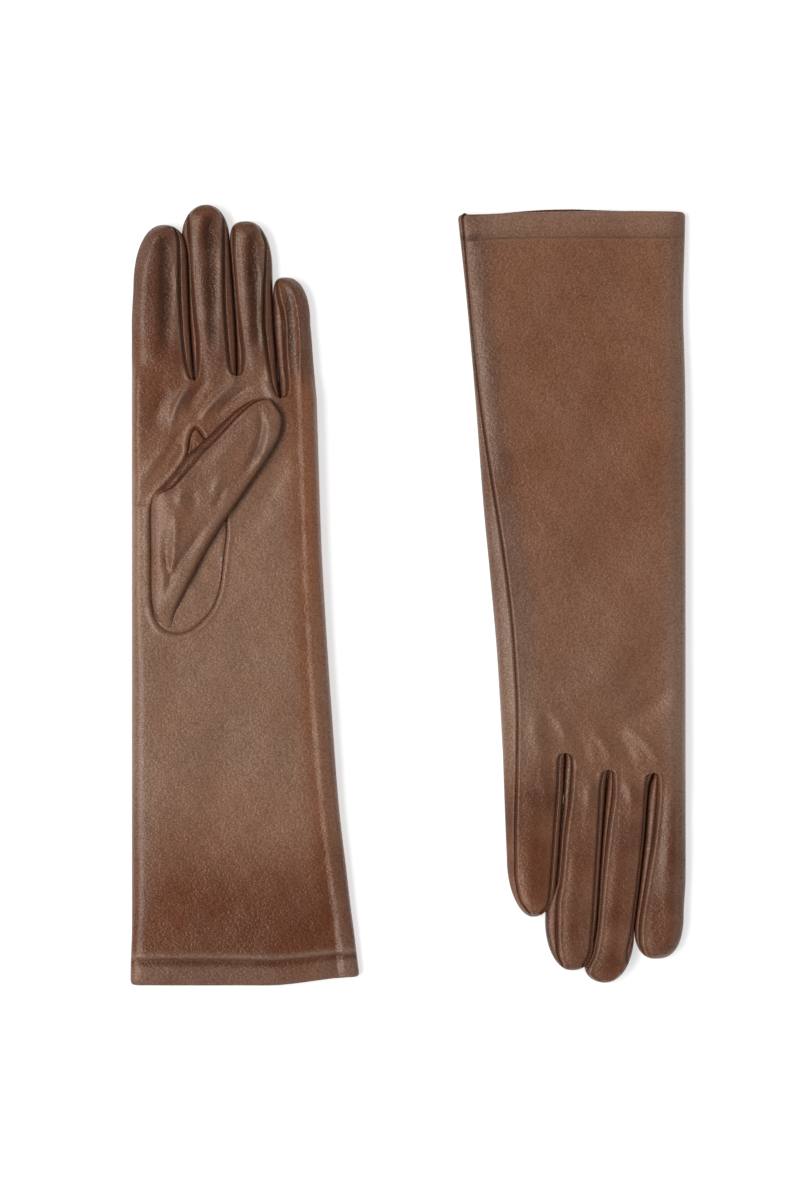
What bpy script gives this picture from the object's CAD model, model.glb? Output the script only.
"""Looks of a pair of long brown leather dress gloves lying flat: the left palm up, the right back up.

Everything is worked out in each glove's own frame, in millimetres: x from the index-finger edge, y from the
cuff towards the fingertips, z up from the table. place() turns that into the shared frame in metres.
"""

import math

import bpy
import numpy as np
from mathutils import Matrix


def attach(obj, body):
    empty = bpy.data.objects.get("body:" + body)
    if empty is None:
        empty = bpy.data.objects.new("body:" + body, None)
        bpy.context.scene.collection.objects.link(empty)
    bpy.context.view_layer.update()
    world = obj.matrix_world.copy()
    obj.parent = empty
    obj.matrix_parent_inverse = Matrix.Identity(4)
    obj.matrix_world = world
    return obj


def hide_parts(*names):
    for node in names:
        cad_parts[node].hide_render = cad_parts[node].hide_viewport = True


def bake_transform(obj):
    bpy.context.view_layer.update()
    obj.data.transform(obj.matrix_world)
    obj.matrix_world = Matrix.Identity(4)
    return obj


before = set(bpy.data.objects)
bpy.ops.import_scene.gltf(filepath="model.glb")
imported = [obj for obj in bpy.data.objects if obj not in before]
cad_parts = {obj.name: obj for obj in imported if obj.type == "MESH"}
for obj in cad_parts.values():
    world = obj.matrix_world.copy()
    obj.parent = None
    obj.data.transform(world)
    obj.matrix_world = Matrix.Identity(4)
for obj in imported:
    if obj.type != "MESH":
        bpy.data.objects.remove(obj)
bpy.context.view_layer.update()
FINGERS = ("index", "middle", "ring", "little")
MM = 0.001  # in metres

# ---------------------------------------------------------------- small helpers


def smooth(low, high, value):
    """A smooth step from 0 at low to 1 at high."""
    t = np.clip((np.asarray(value, float) - low) / (high - low), 0, 1)
    return t * t * (3 - 2 * t)


def bell(value, width, power=2):
    """1 where the value is 0, fading to 0 beyond the width."""
    return np.exp(-((np.abs(value) / width) ** power))


def through(*points):
    """A function through (y, value) points, smooth and without overshoot."""
    ys, xs = np.array(points, float).T
    step = np.diff(ys)
    slope = np.diff(xs) / step
    grade = np.zeros(len(ys))
    grade[0], grade[-1] = slope[0], slope[-1]
    for i in range(1, len(slope)):
        if slope[i - 1] * slope[i] > 0:
            grade[i] = 2 * slope[i - 1] * slope[i] / (slope[i - 1] + slope[i])

    def at(y):
        y = np.clip(y, ys[0], ys[-1])
        k = np.clip(np.searchsorted(ys, y) - 1, 0, len(step) - 1)
        t = (y - ys[k]) / step[k]
        bend = (2 * t**3 - 3 * t**2 + 1) * xs[k] + (3 * t**2 - 2 * t**3) * xs[k + 1]
        return bend + step[k] * ((t**3 - 2 * t**2 + t) * grade[k] + (t**3 - t**2) * grade[k + 1])

    return at


def curve(points, count):
    """Points along a smooth line through the given points, evenly spread between them."""
    p = np.array(points, float)
    p = np.vstack([2 * p[0] - p[1], p, 2 * p[-1] - p[-2]])
    t = np.linspace(0, len(points) - 1, count)
    k = np.minimum(t.astype(int), len(points) - 2)
    f = (t - k)[:, None]
    a, b, c, d = p[k], p[k + 1], p[k + 2], p[k + 3]
    return 0.5 * (2 * b + (c - a) * f + (2 * a - 5 * b + 4 * c - d) * f**2 + (3 * b - a - 3 * c + d) * f**3)


def reach(x, y, line):
    """Distance from each point to a line, and how far along the line the nearest place is, 0 to 1."""
    best = np.full(np.shape(x), 1e9)
    along = np.zeros(np.shape(x))
    total = np.hypot(*np.diff(line, axis=0).T).sum()
    gone = 0.0
    for (x0, y0), (x1, y1) in zip(line, line[1:]):
        length = math.hypot(x1 - x0, y1 - y0)
        t = np.clip(((x - x0) * (x1 - x0) + (y - y0) * (y1 - y0)) / length**2, 0, 1)
        gap = np.hypot(x - x0 - t * (x1 - x0), y - y0 - t * (y1 - y0))
        near = gap < best
        best = np.where(near, gap, best)
        along = np.where(near, (gone + t * length) / total, along)
        gone += length
    return best, along


def inside(x, y, outline):
    """True where a point is inside a closed outline."""
    hit = np.zeros(np.shape(x), bool)
    for (x0, y0), (x1, y1) in zip(outline, np.roll(outline, -1, axis=0)):
        if y0 != y1:
            crossing = (y0 > y) != (y1 > y)
            hit ^= crossing & (x < (x1 - x0) * (y - y0) / (y1 - y0) + x0)
    return hit


def strokes(x, y, folds):
    """Soft ridges (positive) and valleys (negative): each fold is its points, its half width and height."""
    rise = np.zeros(np.shape(x))
    for points, width, height in folds:
        gap, along = reach(x, y, curve(points, 8 * len(points)))
        rise += height * bell(gap, width) * np.sin(np.pi * np.clip(along, 0.02, 0.98)) ** 0.7
    return rise


SWELL_WAVES = 14
SWELL_SCALE = 5.0  # brings the sum of the waves to about -1 to 1


def swell(x, y, seed, size):
    """Gentle uneven relief between about -1 and 1, with features of about a size in mm."""
    rng = np.random.default_rng(seed)
    total = np.zeros(np.shape(x))
    for _ in range(SWELL_WAVES):
        angle, phase = rng.uniform(0, 2 * np.pi, 2)
        rate = 2 * np.pi / (size * rng.uniform(0.7, 2.2))
        total += np.sin(rate * (x * math.cos(angle) + y * math.sin(angle)) + phase)
    return total / SWELL_SCALE


def rounded(depth, radius):
    """Height share of a rounded edge at a depth inside it: 0 at the edge, 1 beyond the radius."""
    return np.sqrt(np.clip(1 - (1 - np.clip(depth / radius, 0, 1)) ** 2, 0, 1))


def spread(start, stop, step, ends=()):
    """Evenly spread values from start to stop, with extra ones at given depths inside both ends."""
    middle = np.linspace(start, stop, max(3, int(round((stop - start) / step)) + 1))
    edge = max(ends, default=0)
    kept = [v for v in middle if start + edge * 1.1 < v < stop - edge * 1.1]
    return np.array(sorted([start, stop, *(start + e for e in ends), *(stop - e for e in ends), *kept]))


# ---------------------------------------------------------------- the two gloves


class Finger:
    """A finger's shape: its two edges, its rounded end, and the lines of its fourchettes' seams.

    split: where its leather starts; fold: where it bends; left, right: edge position by length; tip: (x, y);
    domes: where each side starts to round off and how square; seams: each side's line, or None at a folded
    side; crown: how far the upper face falls from its middle to its sides; valley: x and depth of its hollow.
    """

    def __init__(self, split, fold, left, right, tip, domes, seams, crown, valley):
        self.split, self.fold, self.tip, self.domes = split, fold, tip, domes
        self.lines = (through(*left), through(*right))
        self.seams = [line and through(*line) for line in seams]
        self.crotch = [line and line[0][0] for line in seams]
        self.crown, self.valley = crown, valley

    def edge(self, y, side):
        """X of an edge at a length: side 0 is nearer the index finger, side 1 nearer the little finger."""
        start, power = self.domes[side]
        straight = self.lines[side](np.minimum(y, start))
        u = np.clip((y - start) / (self.tip[1] - start), 0, 1)
        return self.tip[0] + (straight - self.tip[0]) * np.clip(1 - u**power, 0, 1) ** (1 / power)

    def seam(self, y, side):
        """The line between the upper leather and a fourchette, or the folded edge."""
        edge = self.edge(y, side)
        if self.seams[side] is None:
            return edge
        margin = 0.6 * smooth(self.crotch[side], self.crotch[side] + 3, y)
        margin = margin * np.sqrt(np.clip(1 - smooth(self.tip[1] - 6, self.tip[1], y), 0, 1))
        line = self.seams[side](y)
        inner = np.maximum(line, edge + margin) if side == 0 else np.minimum(line, edge - margin)
        return np.where(y <= self.crotch[side], edge, inner)

    def hollow(self, y):
        """X of the shallow hollow that runs along the upper face, at a length."""
        x, _ = self.valley
        return x + (self.tip[0] - x) * 0.5 * smooth(self.fold, self.tip[1], y)

    def open(self, y, side):
        """0 before the crotch on that side, 1 beyond it."""
        return 0 * y if self.crotch[side] is None else np.clip((y - self.crotch[side]) / CROTCH_RUN, 0, 1)

    def level(self, y, height):
        """Top, bottom and middle level at a length, from the height of the hand."""
        middle = FINGER_MIDDLE
        top = height - 0.9 * smooth(self.fold, self.fold + 40, y)
        u = np.clip((y - self.tip[1] + 8.5) / 8.5, 0, 1)
        high = middle + (top - middle) * np.sqrt(np.clip(1 - u**2.3, 0, 1))
        return high, middle * (1 - np.clip(1 - u**2.6, 0, 1) ** (1 / 2.6)), middle + 0 * y


CROTCH_RUN = 1.5  # length over which a seam opens beyond its crotch
FINGER_MIDDLE = 4.1  # level of the middle of a finger's side
LITTLE_REACH = 350  # only the little fingers end before this length

# Where neighbouring fingers touch: (y, x) points along each gap
LEFT_GAPS = (
    ((282, 30.9), (290.5, 30.5), (301, 29.5), (310, 28.7), (322, 28.0), (334, 27.7), (347, 27.3),
    (352, 26.9)),
    ((282, 51.0), (292.8, 50.9), (303, 50.7), (317, 50.2), (330, 49.4), (345, 48.2), (357, 47.2)),
    ((282, 71.6), (293, 70.4), (305, 69.4), (317, 68.4), (330, 68.0), (344, 67.7)),
)
RIGHT_GAPS = (
    ((260, 15.4), (269.7, 15.6), (276, 17.8), (299, 19.7), (322, 22.1), (334, 23.6), (345, 24.9)),
    ((260, 37.4), (268.2, 37.6), (276, 38.3), (299, 40.1), (322, 41.5), (334, 42.2), (345, 43.2), (350, 44.0),
     (357, 45.4)),
    ((260, 58.3), (276, 58.8), (299, 60.3), (322, 62.1), (330, 65.4)),
)  # fmt: skip
LEFT_FINGERS = {
    "index": Finger(
        290, 292, ((282, 0.0), (318, 0.0), (336, 0.8)), LEFT_GAPS[0], (15.4, 365.9), ((335, 2.2), (350, 2.3)),
        (None, ((290.5, 30.4), (291.3, 29.0), (294.7, 27.6), (301, 26.0), (310, 24.8), (322, 23.9),
                (334, 23.3), (353, 23.0), (360, 22.4), (364, 20.4))), 2.6, (15.6, 0.8)),
    "middle": Finger(
        290, 292, (*LEFT_GAPS[0], (357, 25.9), (361, 24.1)), LEFT_GAPS[1], (35.6, 375.6),
        ((361, 2.0), (357, 2.2)),
        (((290.5, 30.6), (292, 31.3), (295, 31.9), (301, 32.1), (310, 31.8), (322, 30.4), (334, 29.2),
          (347, 28.4), (359, 27.7), (370, 27.5)),
         ((292.8, 50.8), (293.3, 49.4), (296.7, 47.7), (303, 46.8), (317, 45.6), (330, 44.8), (345, 44.6),
          (361, 44.6), (369, 44.0))), 2.5, (38.8, 0.8)),
    "ring": Finger(
        290, 292, LEFT_GAPS[1], LEFT_GAPS[2], (55.7, 367.6), ((358, 3.0), (344, 2.1)),
        (((292.8, 51.0), (293.2, 52.3), (296, 53.5), (302, 53.7), (311, 52.7), (322, 51.4), (333, 50.2),
          (342, 49.4), (354, 48.8), (364, 48.9)),
         ((282, 71.5), (283.5, 70.2), (287, 68.5), (296, 66.7), (308, 64.9), (320, 63.9), (333, 63.9),
          (347, 64.5), (355, 64.6), (362, 62.6))), 2.4, (60.0, 0.8)),
    "little": Finger(
        282, 284, LEFT_GAPS[2], ((282, 89.03), (300, 87.4), (312, 86.5), (318, 85.9)), (74.0, 340.6),
        ((331, 3.0), (318, 2.3)),
        (((282, 71.7), (282.6, 73.8), (283.8, 74.7), (288, 75.1), (296, 74.3), (308, 73.5), (316, 73.3),
          (323.6, 72.5), (331, 70.5), (337, 69.6)), None), 1.8, (77.6, 0.5)),
}  # fmt: skip
RIGHT_FINGERS = {
    "index": Finger(
        268, 268, ((260, 0.0), (320, 0.0), (336, 0.9)), RIGHT_GAPS[0], (14.9, 359.4), ((336, 2.6),
        (345, 2.2)),
        (None, ((269.7, 15.5), (270.2, 14.4), (271.6, 13.9), (276, 13.7), (299, 15.4), (322, 18.9),
                (334, 21.0), (345, 22.3), (352, 22.2), (357, 20.0))), 1.5, (12.4, 0.3)),
    "middle": Finger(
        268, 268, RIGHT_GAPS[0], (*RIGHT_GAPS[1], (361, 47.5), (363.5, 49.3)), (39.0, 370.9),
        ((348, 2.0), (363, 2.0)),
        (((269.7, 15.7), (270.2, 17.6), (271.6, 18.7), (276, 19.3), (299, 20.8), (322, 23.3), (334, 24.7),
          (345, 26.1), (356, 28.6)),
         ((268.2, 37.5), (268.9, 35.9), (270.3, 35.2), (276, 35.1), (299, 37.7), (322, 40.2), (334, 41.3),
          (345, 42.3), (357, 44.4), (364, 47.6))), 1.5, (29.0, 0.4)),
    "ring": Finger(
        268, 268, RIGHT_GAPS[1], (*RIGHT_GAPS[2], (336, 67.7), (341, 68.0)), (55.4, 364.9),
        ((350, 2.4), (341, 2.0)),
        (((268.2, 37.7), (268.9, 39.5), (270.3, 40.3), (276, 41.2), (299, 42.4), (322, 43.8), (334, 44.5),
          (345, 45.3), (357, 46.6), (362, 49.5)),
         ((260, 58.2), (260.8, 56.4), (262.6, 55.3), (265, 54.9), (276, 55.4), (299, 58.3), (322, 60.5),
          (334, 62.2), (345, 62.4), (357, 61.6), (362, 59.6))), 1.5, (51.0, 0.4)),
    "little": Finger(
        260, 260, RIGHT_GAPS[2], ((260, 88.39), (301, 86.9), (312, 86.4)), (73.8, 339.2), ((322, 2.0),
        (312, 1.9)),
        (((260, 58.4), (260.8, 60.2), (262, 61.2), (264, 61.6), (276, 61.9), (299, 63.5), (322, 65.1),
          (332, 66.3), (337, 69.4)), None), 1.8, (71.0, 0.3)),
}  # fmt: skip

# The outline of the thumb's hole in the palm
HOLE = curve(
    [(9.6, 200), (9.6, 226), (12.0, 234.5), (19.5, 243), (25.6, 251), (27.7, 256), (28.0, 260.5), (28.9, 265),
     (31.0, 268), (33.2, 266.4), (35.0, 263.4), (37, 258), (41, 246), (45.8, 222), (44.6, 206), (42.2, 188.8),
     (37, 178.1), (28.8, 170.9), (21, 169.2), (13.6, 173), (10, 183), (9.6, 200)], 200)  # fmt: skip

# The thumb from its pointed root to its tip: matching points along its two edges, the fifth at the throat
THUMB_EDGES = (
    [(18.4, 172.0), (12.6, 176.0), (9.9, 186.0), (9.7, 210.0), (10.2, 233.2), (16.6, 240.6), (27.0, 254.4),
     (37.4, 264.2), (48.5, 274.8), (58.0, 281.0), (66.0, 281.9)],
    [(19.2, 172.6), (21.6, 180.4), (27.2, 191.2), (36.6, 209.4), (46.4, 225.0), (52.2, 233.4), (60.0, 244.8),
     (66.9, 255.2), (71.6, 264.4), (72.3, 273.2), (67.4, 281.0)],
)  # fmt: skip
THROAT, TIP = 4.0, 10  # positions of the throat and the tip along the matching points
THUMB_POINTS = 121  # points along each edge once it is smoothed
THUMB_ROOM = 4.1  # how far the right palm rises over its thumb
THUMB_FACE = 3.9  # level of the right palm's face that the thumb lies against

# Folds: points along each, its half width, and its height (below 0 for a valley)
PALM_FOLDS = (
    ([(29, 290), (25, 284), (21.5, 277), (19.5, 270)], 1.7, 2.0),
    ([(51, 291), (44, 284.5), (38, 278.5), (33, 271)], 1.7, 1.9),
    ([(57, 288), (48, 281.5), (41, 274.5)], 1.7, -1.3),
    ([(37, 291), (31, 284), (27, 275)], 2.4, -1.3),
    ([(19, 287), (13, 277), (10, 266)], 4.0, -1.2),
    ([(64, 291), (67, 284), (72, 276)], 1.6, 1.2),
    ([(3, 239), (12, 251), (22, 262)], 3.2, 1.1),
    ([(7, 242), (17, 255), (25, 268)], 2.2, -0.8),
    ([(2, 232), (6, 231.6), (10, 232.4)], 0.9, -1.0),
    ([(52, 214), (66, 236), (78, 262)], 5.0, -0.9),
    ([(8, 160), (30, 155), (62, 161)], 7.0, -0.8),
    ([(15, 118), (45, 128), (80, 120)], 10.0, 0.8),
    ([(20, 60), (50, 74), (90, 66)], 10.0, -0.7),
    ([(92, 22), (98, 32), (97, 44)], 5.0, -0.7),
    ([(99.5, 0), (99.0, 9), (98.4, 20)], 2.0, -0.9),
)
PAINTED_FOLDS = PALM_FOLDS[:8]  # hazy on their crests and dark in their valleys
BACK_FOLDS = (
    ([(4, 223), (18, 238), (40, 251)], 5.0, -1.4),
    ([(24, 212), (42, 226), (62, 234)], 7.0, 1.0),
    ([(13, 266), (19, 256), (30, 247)], 2.4, 1.0),
    ([(36, 265), (40, 255), (46, 248)], 2.4, 1.0),
    ([(57, 257), (60, 247), (66, 240)], 2.6, 1.0),
    ([(25, 267), (30, 257), (33, 251)], 3.0, -0.9),
    ([(47, 267), (50, 257), (54, 249)], 3.0, -0.9),
    ([(70, 264), (72, 252), (74, 238)], 3.6, 1.0),
    ([(10, 120), (50, 132), (84, 124)], 10.0, 0.8),
    ([(12, 52), (52, 64), (90, 58)], 10.0, -0.8),
    ([(14, 180), (40, 170), (76, 178)], 8.0, -0.7),
)
LEFT_FINGER_FOLDS = (
    ([(21.6, 294), (21.4, 320), (21.0, 345), (18.6, 360)], 1.4, 0.8),
    ([(43.8, 298), (42.8, 325), (42.6, 350), (41.4, 368)], 1.4, 0.8),
    ([(36, 371), (32, 363), (31, 345)], 2.6, 0.6),
    ([(63.8, 296), (62.3, 320), (62.4, 340), (60.8, 360)], 1.2, 0.8),
    ([(81.6, 290), (81.3, 312), (79.6, 328), (77, 337)], 1.3, 0.8),
    ([(4, 300), (4.5, 325), (6.5, 345), (11, 360)], 3.0, 0.5),
)
RIGHT_FINGER_FOLDS = (
    ([(31.5, 270), (27.5, 277), (25.6, 286)], 2.2, 0.9),
    ([(68, 266), (69, 274), (67, 284)], 3.0, 0.9),
    ([(47.5, 269), (46.5, 278), (47, 288)], 2.2, 0.8),
    ([(16.5, 275), (18, 300), (21.5, 325), (24, 345)], 1.4, 0.5),
    ([(6, 285), (8, 310), (10, 338)], 4.0, 0.5),
    ([(30, 300), (35, 325), (39, 350)], 4.0, 0.4),
    ([(51, 300), (54, 325), (56, 350)], 4.0, 0.4),
)


def hem_line(x):
    """How far inside the cuff's edge its sewn hem ends."""
    return 11.4 + 0.3 * np.sin(x / 17.0)


class Glove:
    """One glove's outline, its seam beside the little-finger edge, its fingers and its relief.

    fold: where the index, middle and ring fingers start; step: where the little finger starts.
    """

    def __init__(self, side):
        self.side = side
        self.palm_up = side == "left"
        self.fingers = self.pick(LEFT_FINGERS, RIGHT_FINGERS)
        self.fold = self.fingers["ring"].split
        self.step = self.fingers["little"].split
        if self.palm_up:
            self.edge = through(
                (0, 110.4), (12, 108.6), (27, 106.6), (56, 103.2), (85, 99.8), (128, 96.5), (171, 93.6),
                (214, 91.2), (257, 89.8), (282, 89.03))  # fmt: skip
            self.side_line = through(
                (0, 103.4), (27, 100.2), (85, 93.0), (171, 86.4), (257, 83.0), (285, 82.2), (312, 81.6),
                (325, 80.4), (334, 77.6), (340, 74.6))  # fmt: skip
        else:
            self.edge = through(
                (0, 110.2), (42, 106), (88, 101.8), (143, 97.6), (172, 94.8), (215, 91),
                (260, 88.39))  # fmt: skip
            self.side_line = through(
                (0, 108.0), (34, 105.3), (69, 102.0), (97, 98.6), (124, 94.6), (170, 87.3), (208, 83.1),
                (244, 81.4), (270, 81.7), (300, 82.4), (317, 82.4), (325, 81.4), (331, 79.8),
                (338, 74.6))  # fmt: skip
        self.height = through((0, 5.4), (5, 6.2), (20, 7.2), (60, 8.6), (150, 9.8), (292, 10.4))

    def pick(self, left, right):
        """The first value for the left glove, which lies palm up, and the second for the right one."""
        return left if self.palm_up else right

    def edge_level(self, y):
        """Level of the glove's rolled edges."""
        return 2.6 + 1.0 * smooth(0, 120, y)

    def relief(self, x, y):
        """Folds, swell, hem and thumb print on the upper face."""
        rise = strokes(x, y, self.pick(PALM_FOLDS, BACK_FOLDS))
        rise = rise + 0.42 * swell(x, y, 3 + self.palm_up, 34) + 0.13 * swell(x, y, 13 + self.palm_up, 11)
        hem = hem_line(x)
        rise = rise - 0.7 * bell(y - hem, 1.5) + 0.8 * bell(y - hem - 2.8, 1.7)
        rise = rise + 0.3 * (1 - smooth(hem - 3, hem, y)) * smooth(0, 3, y)
        return rise - 0.8 * (1 - rounded(y, 1.3))

    def top(self, x, y, seam=True, slit=True):
        """Level of the upper face, up to the folds of the fingers."""
        edge = self.edge(y)
        shoulder = self.pick(7.0 - 2.6 * smooth(130, 220, y), 8.0)
        roll = rounded(x, shoulder) * rounded(edge - x, self.pick(shoulder, 10.0))
        low = self.edge_level(y)
        full = self.height(y) + self.relief(x, y) * roll
        z = low + (full - low) * roll
        if seam:
            z = z + self.side_seam(x, y)
        if seam and slit:
            z = z - 1.15 * self.slit(x, y, 0.5) + 0.34 * self.slit(x + 1.5, y, 0.8)
        if self.palm_up and seam:
            gap, _ = reach(x, y, HOLE)
            within = inside(x, y, HOLE)
            z = z - 0.75 * bell(gap, 0.6) - 1.3 * within * smooth(0.0, 0.9, gap)
            z = z + 0.5 * bell(gap - 1.8, 1.0) * ~within
        return z

    def slit(self, x, y, width):
        """1 at the ring finger's seam where it runs down beside the little finger, 0 away from it."""
        ring = self.fingers["ring"]
        return bell(x - ring.seam(np.maximum(y, self.step), 1), width, 1.4) * ring.open(y, 1)

    def side_seam(self, x, y):
        """The seam beside the little-finger edge: open on the back, a soft ridge on the palm."""
        gap = x - self.side_line(y)
        if self.palm_up:
            return 0.24 * bell(gap, 1.8) - 0.3 * bell(gap + 3.2, 1.8)
        return 0.25 * bell(np.abs(gap) - 1.3, 0.7) - 0.95 * bell(gap, 0.42, 1.6)

    def under(self, x, y):
        """Level of the lower face: on the table, or over the thumb that lies under the right glove."""
        low = self.edge_level(y)
        roll = rounded(x, 3.6) * rounded(self.edge(y) - x, 3.6)
        z = low * (1 - roll)
        if not self.palm_up:
            z = z + self.thumb_room(x, y) * roll
        return z

    def thumb_room(self, x, y):
        """How far the lower face rises over the thumb beneath it."""
        outline = np.vstack([THUMB_LEFT[::6], THUMB_RIGHT[::-6]])
        gap, _ = reach(x, y, np.vstack([outline, outline[:1]]))
        gap = np.where(inside(x, y, outline), 0, gap)
        return THUMB_ROOM * (1 - smooth(0.3, 6.0, gap))


THUMB_LEFT, THUMB_RIGHT = (curve(line, THUMB_POINTS) for line in THUMB_EDGES)
LEFT, RIGHT = Glove("left"), Glove("right")

# ---------------------------------------------------------------- making meshes


# Where the cuff's corner at the index-finger edge lies in the shared frame, in mm
LEFT_CORNER = (-134.0, -187.8, 0)
RIGHT_CORNER = (134.0, 184.4, 0)


def place(glove, points):
    """Points in the glove's frame, in mm, to the shared frame, in metres."""
    p = np.array(points, float)
    x, y = p[..., 0].copy(), p[..., 1]
    p[..., 2] = np.maximum(p[..., 2], 0)
    if glove.palm_up:
        p[..., 0] = x + 0.4 + 0.7 * smooth(4, 30, y)
        return (p + LEFT_CORNER) * MM
    p[..., 0] = x + (0.4 + 1.1 * bell(y - 45, 28)) * (1 - x / 95)
    return (p * (-1, -1, 1) + RIGHT_CORNER) * MM


def bend_points(glove, start, end):
    """Two places of a glove, in the shared frame, between which a piece bends."""
    first, last = place(glove, [start, end])
    return tuple(first), tuple(last)


def grid_piece(name, glove, grids, material, thick=0.0, tone=None, haze=None, closed=False, mirror=False):
    """A mesh object from one or more grids of points (rows, columns, 3), each with an optional cell mask.

    thick: thickness inwards in mm; tone, haze: values for each point of each grid; closed: the last column
    joins the first; mirror: the faces look the other way.
    """
    vertices, faces = [], []
    start = 0
    for item in grids:
        grid, mask = item if isinstance(item, tuple) else (item, None)
        rows, columns = grid.shape[:2]
        vertices.append(place(glove, grid.reshape(-1, 3)))
        r, c = np.meshgrid(np.arange(rows - 1), np.arange(columns if closed else columns - 1), indexing="ij")
        here, beside = r * columns + c, r * columns + (c + 1) % columns
        quads = np.stack([here, beside, beside + columns, here + columns], -1)
        if mask is not None:
            quads = quads[mask]
        quads = quads.reshape(-1, 4) + start
        faces.append(quads[:, ::-1] if mirror else quads)
        start += rows * columns
    vertices = np.vstack(vertices)
    faces = np.vstack(faces)
    mesh = bpy.data.meshes.new(name)
    mesh.from_pydata(vertices.tolist(), [], faces.tolist())
    piece = bpy.data.objects.new(name, mesh)
    bpy.context.scene.collection.objects.link(piece)
    for label, values in (("tone", tone), ("haze", haze)):
        if values is not None:
            layer = mesh.attributes.new(label, "FLOAT", "POINT")
            numbers = np.concatenate([np.ravel(v) for v in values])
            layer.data.foreach_set("value", numbers.astype(np.float32))
    mesh.materials.append(material)
    finish_mesh(piece, thick)
    return piece


WELD_GAP = 0.00002  # metres
SHARP_ANGLE = 50  # degrees


def finish_mesh(piece, thick):
    """Welds, drops empty faces, gives a thickness inwards and shades smooth except at sharp edges."""
    weld = piece.modifiers.new("weld", "WELD")
    weld.merge_threshold = WELD_GAP
    if thick:
        solid = piece.modifiers.new("thick", "SOLIDIFY")
        solid.thickness = thick * MM
        solid.offset = -1
        solid.use_even_offset = False
    mesh = bpy.data.meshes.new_from_object(piece.evaluated_get(bpy.context.evaluated_depsgraph_get()))
    old = piece.data
    piece.modifiers.clear()
    piece.data = mesh
    bpy.data.meshes.remove(old)
    mesh.name = piece.name
    mesh.validate()
    mesh.shade_smooth()
    mesh.set_sharp_from_angle(angle=math.radians(SHARP_ANGLE))


# ---------------------------------------------------------------- materials


class Paint:
    """A new material, with short ways to add nodes to it, which give back the new node's output."""

    def __init__(self, name):
        self.material = bpy.data.materials.new(name)
        self.material.use_nodes = True
        self.nodes = self.material.node_tree.nodes
        self.links = self.material.node_tree.links
        self.shader = self.nodes["Principled BSDF"]
        self.here = self.nodes.new("ShaderNodeTexCoord").outputs["Object"]

    def add(self, kind, output, inputs, **settings):
        """A node whose inputs are numbers or other nodes' outputs."""
        node = self.nodes.new(f"ShaderNode{kind}")
        for key, value in settings.items():
            setattr(node, key, value)
        for key, value in inputs.items():
            if isinstance(value, bpy.types.NodeSocket):
                self.links.new(value, node.inputs[key])
            else:
                node.inputs[key].default_value = value
        return node.outputs[output]

    def noise(self, scale, detail=3.0, rough=0.55, bend=0.0):
        inputs = {"Scale": scale, "Detail": detail, "Roughness": rough, "Distortion": bend}
        return self.add("TexNoise", "Fac", inputs | {"Vector": self.here})

    def ramp(self, value, low, high, first=0.0, last=1.0):
        """A smooth step from first to last as the value goes from low to high."""
        inputs = {"From Min": low, "From Max": high, "To Min": first, "To Max": last, "Value": value}
        return self.add("MapRange", "Result", inputs, interpolation_type="SMOOTHSTEP")

    def mix(self, factor, first, second, mode="MIX"):
        return self.add("Mix", 2, {0: factor, 6: first, 7: second}, data_type="RGBA", blend_type=mode)

    def sum(self, first, second):
        return self.add("Math", 0, {0: first, 1: second}, operation="ADD")

    def product(self, first, second):
        return self.add("Math", 0, {0: first, 1: second}, operation="MULTIPLY")

    def bump(self, height, strength, distance):
        """Makes the surface look raised by a height; the distance is in metres."""
        inputs = {"Strength": strength, "Distance": distance, "Height": height}
        self.links.new(self.add("Bump", "Normal", inputs), self.shader.inputs["Normal"])


BRIGHT_DYE = (0.298, 0.122, 0.060, 1.0)
HAZE_COLOUR = (0.300, 0.190, 0.136, 1.0)
PIT_COLOUR = (0.55, 0.5, 0.48, 1.0)


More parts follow.
